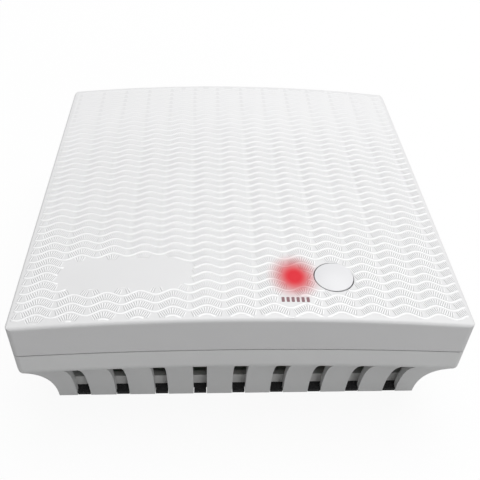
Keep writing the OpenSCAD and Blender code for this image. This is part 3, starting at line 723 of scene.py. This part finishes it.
def wave_ridges():
    """Smooth ridges that wave across the face."""
    size = sizes()
    steps = int(2 * HALF_W / size.wave_period * RIDGE_SAMPLES)
    x = np.linspace(-HALF_W, HALF_W, steps)
    shares = np.array(RIDGE_PLACES)
    heights = np.array(RIDGE_HEIGHTS)
    across = wave_ways(x)[1]
    points = []
    faces = []
    for row in row_lines():
        y = row + wave_offset(x)
        room = relief_room(x, y)
        rise = np.clip(room / size.fade, 0.0, 1.0)
        for start, end in ridge_runs(room > -size.fade / 2):
            part = slice(start, end)
            offsets = size.ridge_width / 2 * shares[None, :, None] * across[part, None, :]
            flat = np.stack([x[part], y[part]], 1)[:, None, :] + offsets
            height = size.ridge_height * strength(y[part]) * rise[part] + size.sink
            lift = heights[None, :] * height[:, None] - size.sink
            z = face_z(flat[:, :, 0]) + lift
            ring = np.concatenate([flat, z[:, :, None]], 2)
            faces += strip_faces(len(points), end - start, len(shares))
            points += list(ring.reshape(-1, 3))
    # The ridges' lighter tone is a painted highlight, with a painted sheen higher up the face.
    paint = lit_cover(shown("ridge"), 0.36, shown("painted_far_sheen"))
    add_piece("wave_ridges", points, faces, paint, True)


def wave_bars(name, start, width, height, tone):
    """Short bars that stand square to the wave in each band between two ridges."""
    size = sizes()
    x_fine = np.linspace(-HALF_W, HALF_W, WAVE_SAMPLES)
    steps = np.hypot(np.diff(x_fine), np.diff(wave_offset(x_fine)))
    run = np.concatenate([[0.0], np.cumsum(steps)])
    x = np.interp(np.arange(start, run[-1], size.tick_pitch), run, x_fine)
    share = np.mod((x - size.wave_start) / size.wave_period, 1.0)
    x = x[(share < size.plain_from) | (share > size.plain_to)]
    along, across = wave_ways(x)
    corners = np.array([[-1, -1], [1, -1], [1, 1], [-1, 1]], float)
    quads = [(0, 3, 2, 1), (4, 5, 6, 7), (0, 1, 5, 4), (1, 2, 6, 5), (2, 3, 7, 6), (3, 0, 4, 7)]
    points = []
    faces = []
    for row in row_lines():
        y = row + size.row_pitch / 2 + wave_offset(x)
        over, up = (across * size.tick_length / 2).T
        room = np.minimum(relief_room(x + over, y + up), relief_room(x - over, y - up))
        top = height * strength(y)
        for k in np.flatnonzero(room > 0.0):
            first = len(points)
            for grow, lift in ((1.0, -size.sink), (BAR_TOP, top[k])):
                for side, end in corners:
                    flat = along[k] * side * width / 2 * grow
                    flat = flat + across[k] * end * (size.tick_length - width * (1 - grow)) / 2
                    px = x[k] + flat[0]
                    points.append((px, y[k] + flat[1], float(face_z(px)) + lift))
            faces += [tuple(first + corner for corner in quad) for quad in quads]
    # The bars' tone is painted: a highlight on the ticks, shade in the grooves, and a sheen higher up the
    # face.
    add_piece(name, points, faces, lit_cover(tone, 0.5, shown("painted_far_sheen")), False)


def wave_ticks():
    """Ticks with a painted highlight, and dark strips of painted shade in the grooves between them."""
    size = sizes()
    wave_bars("wave_ticks", 0.0, size.tick_width, size.tick_height, shown("tick"))
    half = size.tick_pitch / 2
    # Dark strips of painted shade on the floors of the grooves between the ticks.
    wave_bars("tick_grooves", half, size.groove_width, size.groove_height, shown("groove"))


def round_edges(build, edges, radius):
    """Rounds some edges of a printed block."""
    bmesh.ops.bevel(build, geom=edges, offset=radius, segments=MARK_FACETS, profile=0.5, affect="EDGES")


def mark_row():
    """Row of plain printed blocks under the status light."""
    size = sizes()
    build = bmesh.new()
    pitch = size.mark_width / size.mark_count
    for k in range(size.mark_count):
        x = LIGHT_PLACE.x + size.mark_x + (k - (size.mark_count - 1) / 2) * pitch
        block = bmesh.ops.create_cube(build, size=1.0)["verts"]
        extent = (pitch * MARK_SHARE, size.mark_height, size.mark_thickness * 2)
        bmesh.ops.scale(build, vec=extent, verts=block)
        bmesh.ops.translate(build, vec=(x, size.mark_y, 0.0), verts=block)
        upright = {
            edge
            for vert in block
            for edge in vert.link_edges
            if abs(edge.verts[0].co.z - edge.verts[1].co.z) > size.mark_thickness
        }
        round_edges(build, list(upright), pitch * MARK_CORNER)
    for vert in build.verts:
        vert.co.z += float(face_z(vert.co.x))
    points = [vert.co.copy() for vert in build.verts]
    faces = [tuple(vert.index for vert in face.verts) for face in build.faces]
    build.free()
    add_piece("mark_row", points, faces, printed, False)


def from_axis(places, axis_z):
    """Distance of each place from an axis along Y at that height, and the way out from it."""
    across = places * (1.0, 0.0, 1.0) - (0.0, 0.0, axis_z)
    far = np.linalg.norm(across, axis=1)
    return far, across / far[:, None]


def from_middle(places, axis):
    """Distance of each place from the middle plane across an axis, and the way out from it."""
    way = np.zeros(places.shape)
    way[:, axis] = np.where(places[:, axis] < 0.0, -1.0, 1.0)
    return np.abs(places[:, axis]), way


def beyond(field, reach):
    """The same field, with its zero moved out to that reach."""
    return field[0] - reach, field[1]


def bend(first, second, first_middle, second_middle, radius):
    """Distance of each place outside a round surface, and the way out from its middle."""
    a = first[0] - first_middle
    b = second[0] - second_middle
    far = np.maximum(np.hypot(a, b), ON_SLICE)
    return far - radius, (a[:, None] * first[1] + b[:, None] * second[1]) / far[:, None]


def pick(mask, first, second):
    """The first field at the places of the mask, and the second one elsewhere."""
    return np.where(mask, first[0], second[0]), np.where(mask[:, None], first[1], second[1])


def corner_radius(places):
    """Radius of the plan corner nearest to each place."""
    size = sizes()
    return np.where(places[:, 1] < 0.0, size.near_corner, size.far_corner)


def plan_corner(places):
    """Distance of each place outside the round plan corner nearest to it, and the way out."""
    radius = corner_radius(places)
    x = from_middle(places, 0)
    y = from_middle(places, 1)
    return bend(x, y, HALF_W - radius, HALF_D - radius, radius)


def corner_turn(places):
    """How far round its plan corner each place lies, in radians."""
    radius = corner_radius(places)
    a = np.abs(places[:, 0]) - HALF_W + radius
    b = np.abs(places[:, 1]) - HALF_D + radius
    return np.arctan2(np.maximum(a, 0.0), np.maximum(b, 0.0))


def outer_wall(places):
    """Distance of each place outside the plan outline, and the way out."""
    radius = corner_radius(places)
    x = beyond(from_middle(places, 0), HALF_W)
    y = beyond(from_middle(places, 1), HALF_D)
    at_corner = (x[0] > -radius) & (y[0] > -radius)
    return pick(at_corner, plan_corner(places), pick(x[0] > y[0], x, y))


def lip_arch():
    """Radius of the arched lip and the height of its axis."""
    size = sizes()
    radius = arc_radius(HALF_W, size.lip_rise)
    return radius, COVER_HI.z - size.skirt - radius


def side_cove(places):
    """How far each place stands out of the shell into a side cove, and the way out."""
    size = sizes()
    radius = arc_radius(COVER_HI.z - size.skirt - size.lip_rise, size.foot_inset_x)
    middle = HALF_W - size.foot_inset_x + radius
    depth, way = bend(from_middle(places, 0), from_middle(places, 2), middle, 0.0, radius)
    return -depth, -way


def end_cove(places):
    """The same for the coves at the other two sides, whose top follows the arched lip."""
    size = sizes()
    lip_z = COVER_HI.z - size.skirt
    arch_r, axis_z = lip_arch()
    radius = arc_radius(lip_z, size.foot_inset_y)
    middle = HALF_D - size.foot_inset_y + radius
    depth, way = bend(from_axis(places, axis_z), from_middle(places, 1), arch_r - lip_z, middle, radius)
    return -depth, -way


def nearer_cove(places):
    """The same for whichever cove is nearer."""
    side = side_cove(places)
    end = end_cove(places)
    return pick(side[0] > end[0], side, end)


def soft_lip(places, cove):
    """How far each place stands out of the rounded lip, and the way out of the shell there."""
    soft = sizes().lip_soft
    wall, wall_way = outer_wall(places)
    hollow, cove_way = cove(places)
    a = np.clip(soft + wall, 0.0, None)
    b = np.clip(soft + hollow, 0.0, None)
    out = a[:, None] * wall_way + b[:, None] * cove_way
    steep = np.maximum(np.linalg.norm(out, axis=1), ON_SLICE)
    far = np.maximum(np.hypot(a, b), ON_SLICE)
    return np.where((a > 0.0) & (b > 0.0), (far - soft) * far / steep, 0.0), out / steep[:, None]


def levels(reach, width):
    """Even steps over a reach to both sides of the middle."""
    count = int(reach / width)
    return np.arange(-count, count + 1) * width


def quarter_turns():
    """Even steps of a quarter turn, in radians, without its ends."""
    count = sizes().edge_slices
    return [math.pi / 2 * k / count for k in range(1, count)]


def edge_levels(start, radius):
    """Places where even turns round an edge that starts there cross the chord under it."""
    return [start + radius / (1 + 1 / math.tan(turn)) for turn in quarter_turns()]


def place_across(places):
    """Where each place lies across the face."""
    return places[:, 0]


def cover_plan():
    """Outer surfaces of the cover by name, and its slices: the surfaces, the field and the levels."""
    size = sizes()
    edge = size.face_edge
    crown_r = crown_radius()
    crown_z = COVER_HI.z - crown_r
    edge_x = HALF_W - edge
    edge_y = HALF_D - edge
    edge_z = float(face_z(edge_x)) - edge * size.edge_sink
    arch_r, arch_z = lip_arch()
    surfaces = {
        "crown": lambda p: beyond(from_axis(p, crown_z), crown_r),
        "end edge": lambda p: bend(from_axis(p, crown_z), from_middle(p, 1), crown_r - edge, edge_y, edge),
        "side edge": lambda p: bend(from_middle(p, 0), from_middle(p, 2), edge_x, edge_z, edge),
        "side wall": lambda p: beyond(from_middle(p, 0), HALF_W),
        "end wall": lambda p: beyond(from_middle(p, 1), HALF_D),
        "corner": plan_corner,
        "rim": lambda p: beyond(from_axis(p, arch_z), arch_r + size.band),
    }
    slices = [
        (("crown", "end edge", "end wall", "rim"), place_across, levels(HALF_W, size.slice_width)),
        (("end edge",), lambda p: np.abs(p[:, 1]), edge_levels(edge_y, edge)),
        (("side edge",), lambda p: np.abs(p[:, 0]), edge_levels(edge_x, edge)),
        (("corner",), corner_turn, quarter_turns()),
    ]
    return surfaces, slices


def housing_plan():
    """The same for the vent housing, whose lip is softened afterwards."""
    size = sizes()
    surfaces = {
        "side wall": lambda p: beyond(from_middle(p, 0), HALF_W),
        "end wall": lambda p: beyond(from_middle(p, 1), HALF_D),
        "corner": plan_corner,
        "side cove": side_cove,
        "end cove": end_cove,
    }
    depths = [size.lip_soft * (1 - math.cos(turn)) for turn in quarter_turns()] + [size.lip_soft]
    slices = [
        (("end wall", "end cove"), place_across, levels(HALF_W, size.slice_width)),
        (("corner",), corner_turn, quarter_turns()),
        (("side wall", "end wall", "corner"), lambda p: -nearer_cove(p)[0], depths),
        (("side cove", "end cove"), lambda p: -outer_wall(p)[0], depths),
    ]
    return surfaces, slices


def mesh_array(items, name, width):
    """Values of one attribute of a mesh's items, a row for each."""
    values = np.zeros(len(items) * width)
    items.foreach_get(name, values)
    return values.reshape(-1, width)


def own_surfaces(mesh, surfaces):
    """Number of the surface that each face of a mesh lies on, from 1, or 0 where it lies on none."""
    places = mesh_array(mesh.vertices, "co", 3)
    corners = np.array([face.vertices[:] for face in mesh.polygons])
    middles = places[corners].mean(axis=1)
    normals = mesh_array(mesh.polygons, "normal", 3)
    best = np.full(len(corners), np.inf)
    owner = np.zeros(len(corners), int)
    for number, surface in enumerate(surfaces.values(), 1):
        far, way = surface(places)
        reach = np.abs(far)[corners].max(axis=1)
        match = np.abs((way[corners] * normals[:, None, :]).sum(axis=2).mean(axis=1))
        inner = np.abs(surface(middles)[0])
        mine = (reach < ON_SURFACE) & (match > LEAST_MATCH) & (inner < best)
        best = np.where(mine, inner, best)
        owner = np.where(mine, number, owner)
    return owner


def crossing_shares(starts, ends, field, level):
    """Where along each line the field meets a level, as a share of the line."""
    low = np.zeros(len(starts))
    high = np.ones(len(starts))
    first = field(starts) - level
    for _ in range(HALVINGS):
        middle = (low + high) / 2
        value = field(starts + (ends - starts) * middle[:, None]) - level
        same = value * first > 0.0
        low = np.where(same, middle, low)
        high = np.where(same, high, middle)
    return (low + high) / 2


def slice_shell(build, owner, wanted, field, level):
    """Splits the wanted faces, and their edges, where the field meets a level."""
    build.verts.index_update()
    height = field(np.array([vert.co for vert in build.verts])) - level
    marked = {vert for vert in build.verts if abs(height[vert.index]) < ON_SLICE}
    edges = [
        edge
        for edge in build.edges
        if height[edge.verts[0].index] * height[edge.verts[1].index] < 0.0
        and not marked.intersection(edge.verts)
        and any(face[owner] in wanted for face in edge.link_faces)
    ]
    if not edges:
        return
    starts = np.array([edge.verts[0].co for edge in edges])
    ends = np.array([edge.verts[1].co for edge in edges])
    for edge, share in zip(edges, crossing_shares(starts, ends, field, level)):
        marked.add(bmesh.utils.edge_split(edge, edge.verts[0], share)[1])
    for face in {face for vert in marked for face in vert.link_faces if face[owner] in wanted}:
        order = list(face.verts)
        cuts = [k for k, vert in enumerate(order) if vert in marked]
        if len(cuts) == 2 and cuts[1] - cuts[0] not in (1, len(order) - 1):
            bmesh.utils.face_split(face, order[cuts[0]], order[cuts[1]])


def sliced_mesh(name, node, plan):
    """Copy of a node's mesh, cut along the slices of a plan, with the surface of each of its faces."""
    surfaces, slices = plan
    names = list(surfaces)
    mesh = bpy.data.meshes.new(name)
    source = frame["nodes"][node].data
    faces = [face.vertices[:] for face in source.polygons]
    mesh.from_pydata([vert.co for vert in source.vertices], [], faces)
    build = bmesh.new()
    build.from_mesh(mesh)
    bmesh.ops.remove_doubles(build, verts=build.verts, dist=ON_SLICE)
    build.to_mesh(mesh)
    build.clear()
    found = own_surfaces(mesh, surfaces)
    build.from_mesh(mesh)
    owner = build.faces.layers.int.new("surface")
    for face, number in zip(build.faces, found):
        face[owner] = int(number)
    for wanted, field, steps in slices:
        numbers = {names.index(one) + 1 for one in wanted}
        for level in steps:
            slice_shell(build, owner, numbers, field, level)
    bmesh.ops.triangulate(build, faces=[face for face in build.faces if len(face.verts) > 3])
    owners = np.array([face[owner] for face in build.faces])
    build.to_mesh(mesh)
    build.free()
    return mesh, owners


def snap(places, corners, owners, surfaces):
    """Moves the vertices of each surface's own faces onto that surface."""
    members = [np.unique(corners[owners == owner]) for owner in range(1, len(surfaces) + 1)]
    for _ in range(SNAP_ROUNDS):
        for surface, mine in zip(surfaces.values(), members):
            far, way = surface(places[mine])
            places[mine] -= far[:, None] * way


def soften(places, outer):
    """Moves the outer vertices at the lip in to its rounded edge."""
    for _ in range(LIP_ROUNDS):
        far, way = soft_lip(places[outer], nearer_cove)
        places[outer] -= np.clip(far, 0.0, None)[:, None] * way


def true_normals(places, corners, owners, faces, surfaces, soft):
    """Normal at each corner of each face: that of its own surface, or of the soft lip beside it."""
    normals = np.zeros((len(corners), 3, 3))
    for owner, (title, surface) in enumerate(surfaces.items(), 1):
        mine = owners == owner
        at = places[corners[mine]].reshape(-1, 3)
        if soft:
            way = soft_lip(at, surface if "cove" in title else nearer_cove)[1]
        else:
            way = surface(at)[1]
        way = way.reshape(-1, 3, 3)
        normals[mine] = way * np.sign((way * faces[mine][:, None, :]).sum())
    return normals


def fine_shell(name, node, plan, soft=False):
    """Stands in for a packed shell with a finer copy, whose vertices lie on its true surfaces."""
    surfaces = plan[0]
    mesh, owners = sliced_mesh(name, node, plan)
    places = mesh_array(mesh.vertices, "co", 3)
    corners = np.array([face.vertices[:] for face in mesh.polygons])
    snap(places, corners, owners, surfaces)
    if soft:
        soften(places, np.unique(corners[owners > 0]))
    mesh.vertices.foreach_set("co", places.ravel())
    mesh.update()
    faces = mesh_array(mesh.polygons, "normal", 3)
    normals = true_normals(places, corners, owners, faces, surfaces, soft)
    mesh.polygons.foreach_set("use_smooth", [True] * len(mesh.polygons))
    mesh.set_sharp_from_angle(angle=math.radians(SHARP_TURN))
    mesh.normals_split_custom_set(normals.reshape(-1, 3).tolist())
    mesh.materials.append(frame["nodes"][node].material_slots[0].material)
    piece = add_object(name, mesh)
    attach(piece, "housing")
    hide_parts(node)


def dress_nodes():
    """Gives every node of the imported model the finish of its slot."""
    made = {slot: finish(slot, paint) for slot, paint in slot_paints().items()}
    for row in frame["record"]["subparts"]:
        name = row["node"]
        node = frame["nodes"][name]
        material = finish(name, NODE_PAINTS[name]) if name in NODE_PAINTS else made[row["material_slot"]]
        if not node.material_slots:
            node.data.materials.append(material)
        for place in node.material_slots:
            place.material = material


def floor_finish():
    """Pale floor: white to the camera apart from a soft shadow, and grey in reflected light."""
    stage = bpy.context.scene.sensor_stage
    material = bpy.data.materials.new("Floor")
    material.use_nodes = True
    recipe = Recipe(material.node_tree)
    camera = recipe.add("ShaderNodeLightPath", output="Is Camera Ray")
    speck = recipe.noise(40.0)
    grey = (stage.floor_grey,) * 3
    tone = recipe.mix(speck, shade(grey, 0.98), grey)
    bounce = recipe.add("ShaderNodeBsdfDiffuse", inputs={"Color": tone})
    matt = recipe.add("ShaderNodeBsdfDiffuse", inputs={"Color": (stage.floor_matt,) * 3})
    white = recipe.add("ShaderNodeEmission", inputs={"Color": (1.0, 1.0, 1.0), "Strength": 1.0})
    seen = recipe.add("ShaderNodeMixShader", inputs={0: stage.floor_white, 1: matt, 2: white})
    surface = recipe.add("ShaderNodeMixShader", inputs={0: camera, 1: bounce, 2: seen})
    recipe.add("ShaderNodeOutputMaterial", inputs={"Surface": surface})
    return material


def add_floor():
    """Floor under the object, a hair below its feet."""
    stage = bpy.context.scene.sensor_stage
    mesh = bpy.data.meshes.new("floor")
    build = bmesh.new()
    half = stage.floor_size / 2
    bmesh.ops.create_grid(build, x_segments=FLOOR_CELLS, y_segments=FLOOR_CELLS, size=half)
    build.to_mesh(mesh)
    build.free()
    mesh.materials.append(floor_finish())
    floor = add_object("floor", mesh)
    floor.location.z = CAD_BOX[0].z - FLOOR_DROP


def add_world():
    """Surroundings: white where the camera and reflections look, and dimmer as a light."""
    stage = bpy.context.scene.sensor_stage
    world = bpy.data.worlds.new("Surroundings")
    world.use_nodes = True
    recipe = Recipe(world.node_tree)
    path = recipe.add("ShaderNodeLightPath").socket.node
    camera = Wire(recipe, path.outputs["Is Camera Ray"])
    glossy = Wire(recipe, path.outputs["Is Glossy Ray"])
    through = Wire(recipe, path.outputs["Is Transmission Ray"])
    seen = camera.maths("MAXIMUM", camera, glossy)
    seen = seen.maths("MAXIMUM", seen, through)
    dim = recipe.add("ShaderNodeBackground", inputs={"Color": (1.0, 1.0, 1.0), "Strength": stage.sky})
    white = recipe.add("ShaderNodeBackground", inputs={"Color": (1.0, 1.0, 1.0), "Strength": 1.0})
    surface = recipe.add("ShaderNodeMixShader", inputs={0: seen, 1: dim, 2: white})
    recipe.add("ShaderNodeOutputWorld", inputs={"Surface": surface})
    bpy.context.scene.world = world


def add_lamp(name, place, size, watts):
    """Soft square lamp that looks at the object."""
    data = bpy.data.lights.new(name, "AREA")
    data.shape = "SQUARE"
    data.size = size
    data.energy = watts
    lamp = add_object(name, data)
    lamp.location = place
    lamp.rotation_euler = Vector(place).to_track_quat("Z", "Y").to_euler()


def add_camera():
    """Camera at the photograph's place and angle."""
    right = Vector(CAMERA_RIGHT).normalized()
    down = Vector(CAMERA_DOWN)
    up = -(down - right * down.dot(right)).normalized()
    back = right.cross(up)
    turn = Matrix((right, up, back)).transposed().to_4x4()
    data = bpy.data.cameras.new("camera")
    data.sensor_width = SENSOR_MM
    data.lens = SENSOR_MM * CAMERA_FOCUS_PX / PICTURE_PX
    data.clip_start = CAMERA_NEAR
    camera = add_object("camera", data)
    camera.matrix_world = Matrix.Translation(CAMERA_PLACE) @ turn
    bpy.context.scene.camera = camera


class SENSOR_OT_face_relief(Operator):
    """Add the wave ridges and the ticks between them to the face"""

    bl_idname = "sensor.face_relief"
    bl_label = "Face relief"

    def execute(self, context):
        wave_ridges()
        wave_ticks()
        return {"FINISHED"}


class SENSOR_OT_mark_row(Operator):
    """Add the row of printed blocks under the status light"""

    bl_idname = "sensor.mark_row"
    bl_label = "Printed row"

    def execute(self, context):
        mark_row()
        return {"FINISHED"}


class SENSOR_OT_finishes(Operator):
    """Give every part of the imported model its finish"""

    bl_idname = "sensor.finishes"
    bl_label = "Finishes"

    def execute(self, context):
        dress_nodes()
        return {"FINISHED"}


class SENSOR_OT_fine_shells(Operator):
    """Let finer copies, with true edges and a soft lip, stand in for the cover and the housing"""

    bl_idname = "sensor.fine_shells"
    bl_label = "Fine shells"

    def execute(self, context):
        fine_shell("crowned_cover", "front_cover", cover_plan())
        fine_shell("coved_housing", "vent_housing", housing_plan(), True)
        return {"FINISHED"}


class SENSOR_OT_stage(Operator):
    """Add the floor, the lamps, the surroundings and the camera"""

    bl_idname = "sensor.stage"
    bl_label = "Stage"

    def execute(self, context):
        add_floor()
        add_world()
        stage = context.scene.sensor_stage
        add_lamp("overhead", tuple(stage.lamp_place), stage.lamp_size, stage.lamp_watts)
        add_lamp("fill", tuple(stage.fill_place), stage.fill_size, stage.fill_watts)
        add_camera()
        context.scene.view_settings.view_transform = "Standard"
        return {"FINISHED"}


class SENSOR_PT_panel(Panel):
    """Lists the sensor's operators with their sizes and colours"""

    bl_idname = "SENSOR_PT_panel"
    bl_label = "Gas Sensor"
    bl_space_type = "VIEW_3D"
    bl_region_type = "UI"
    bl_category = "Gas Sensor"

    def draw(self, context):
        layout = self.layout
        for operator in OPERATORS:
            layout.operator(operator.bl_idname)
        scene = context.scene
        for group in (scene.sensor_sizes, scene.sensor_colours, scene.sensor_stage):
            box = layout.box()
            for name in group.__annotations__:
                box.prop(group, name)


OPERATORS = (
    SENSOR_OT_stage,
    SENSOR_OT_finishes,
    SENSOR_OT_fine_shells,
    SENSOR_OT_face_relief,
    SENSOR_OT_mark_row,
)
CLASSES = (SensorSizes, SensorColours, SensorStage, *OPERATORS, SENSOR_PT_panel)


def register():
    for item in CLASSES:
        bpy.utils.register_class(item)
    bpy.types.Scene.sensor_sizes = PointerProperty(type=SensorSizes)
    bpy.types.Scene.sensor_colours = PointerProperty(type=SensorColours)
    bpy.types.Scene.sensor_stage = PointerProperty(type=SensorStage)


def unregister():
    del bpy.types.Scene.sensor_stage
    del bpy.types.Scene.sensor_colours
    del bpy.types.Scene.sensor_sizes
    for item in reversed(CLASSES):
        bpy.utils.unregister_class(item)


def main():
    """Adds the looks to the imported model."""
    register()
    bpy.ops.sensor.stage()
    bpy.ops.sensor.finishes()
    bpy.ops.sensor.fine_shells()
    bpy.ops.sensor.face_relief()
    bpy.ops.sensor.mark_row()


if __name__ == "__main__":
    main()
